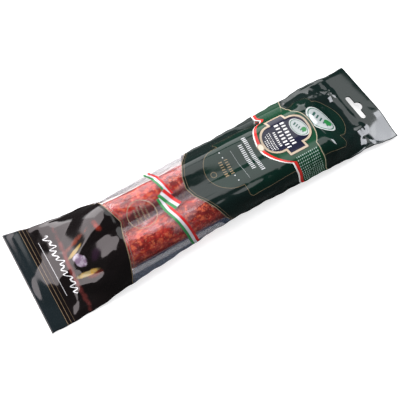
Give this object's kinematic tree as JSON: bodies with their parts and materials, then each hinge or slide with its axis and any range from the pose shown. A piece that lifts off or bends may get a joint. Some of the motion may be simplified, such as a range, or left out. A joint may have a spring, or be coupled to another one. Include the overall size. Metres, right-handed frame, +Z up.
{
  "type": "cured sausage pack",
  "caption": "Printed film pouch with straight cured sausages side by side inside, a wrap label across it and a hang slot in its header.",
  "frame": {"origin": "on the surface the pack lies on, under the middle of its outline", "axes": "+X along the pack from the bottom seal to the header with the hang slot, +Y across it, +Z up through the front"},
  "size_m": [0.408, 0.105, 0.0363],
  "materials": {
    "printed_film": "glossy packaging film, printed dark green with a clear window",
    "sausage": "moist casing over mottled red paprika meat",
    "label": "satin coated label, dark green with a navy plaque"
  },
  "bodies": {
    "root": {"front_film": "printed_film", "back_film": "printed_film", "sausage_left": "sausage", "sausage_right": "sausage", "wrap_label": "label"}
  },
  "joints": []
}
